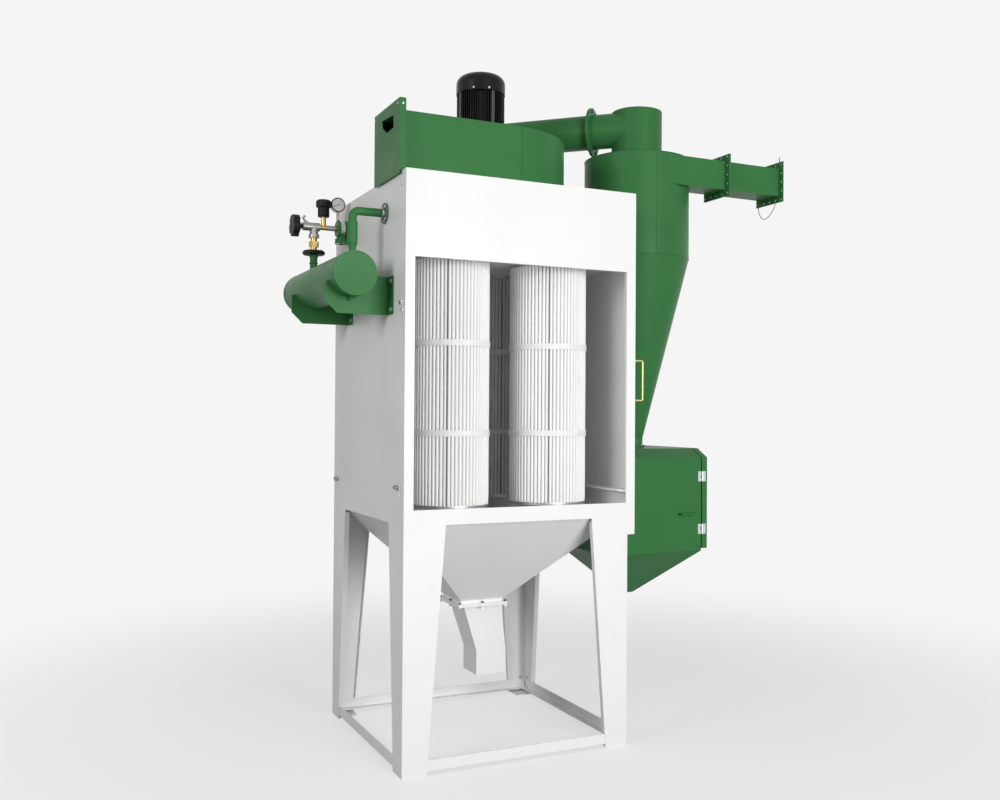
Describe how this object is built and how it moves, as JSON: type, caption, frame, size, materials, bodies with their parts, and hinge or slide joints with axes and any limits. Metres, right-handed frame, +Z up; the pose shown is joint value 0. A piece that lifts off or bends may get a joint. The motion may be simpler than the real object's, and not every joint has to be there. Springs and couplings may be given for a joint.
{
  "type": "pleated filter dust collector",
  "caption": "Cartridge dust collector on a folded stand, with roof fan, pre-separator cyclone, grit bin and pulse-air tank.",
  "frame": {"origin": "middle of the footprint of the whole machine, on the floor", "axes": "+Z up, -Y towards the open filter side that faces the viewer, +X towards the cyclone's inlet"},
  "size_m": [2.212, 1.1725, 2.858],
  "materials": {
    "white": "white powder coat",
    "green": "satin green enamel",
    "media": "pleated polyester",
    "band": "woven band",
    "black": "gloss black enamel",
    "plastic": "black moulding",
    "brass": "bare",
    "steel": "nickelled",
    "zinc": "zinc plated"
  },
  "bodies": {
    "machine": {"leg_front_left": "white", "leg_front_right": "white", "leg_back_left": "white", "leg_back_right": "white", "stand_front_rail": "white", "stand_back_rail": "white", "stand_side_rails": "white", "stand_cross_ties": "white", "stand_side_ties": "white", "cyclone_mount_frame": "white", "housing_front_frame": "white", "housing_left_wall": "white", "housing_right_wall": "white", "housing_back_wall": "white", "housing_roof": "white", "tube_sheet": "white", "cartridge_media": "media", "cartridge_bands": "band", "cartridge_caps": "zinc", "hopper": "white", "hopper_outlet_flange": "white", "discharge_chute": "white", "fan_scroll": "green", "fan_outlet_plate": "green", "motor_body": "black", "motor_cowl": "black", "cyclone_barrel": "green", "cyclone_cone": "green", "cyclone_head": "green", "crossover_stub": "green", "crossover_pipe": "green", "crossover_upper_bend": "green", "crossover_drop": "green", "crossover_lower_bend": "green", "inlet_duct_inner": "green", "inlet_duct_outer": "green", "bin_body": "green", "bin_hopper": "green", "bin_hinge_fixed": "zinc", "bin_grip": "green", "side_handle": "brass", "air_tank": "green", "tank_brackets": "green", "blow_pipe": "green", "wall_flanges": "steel", "rear_riser": "green", "riser_disc": "plastic", "riser_union": "brass", "stop_valve": "steel", "air_tee": "brass", "pressure_switch": "plastic", "pulse_valve": "green", "pressure_gauge": "steel"},
    "bin_door": {"bin_door": "green", "bin_hinge_moving": "zinc"},
    "valve_handwheel": {"valve_handwheel": "plastic"}
  },
  "joints": [
    {"name": "bin_door_hinge", "type": "hinge", "parent": "machine", "child": "bin_door", "pos_m": [0.6525, -0.41175, 0.977], "axis": [0, 0, -1], "range_deg": [0, 110]},
    {"name": "stop_valve_spindle", "type": "hinge", "parent": "machine", "child": "valve_handwheel", "pos_m": [-1.106, 0.12575, 2.176], "axis": [1, 0, 0], "range_deg": [0, 720]}
  ]
}
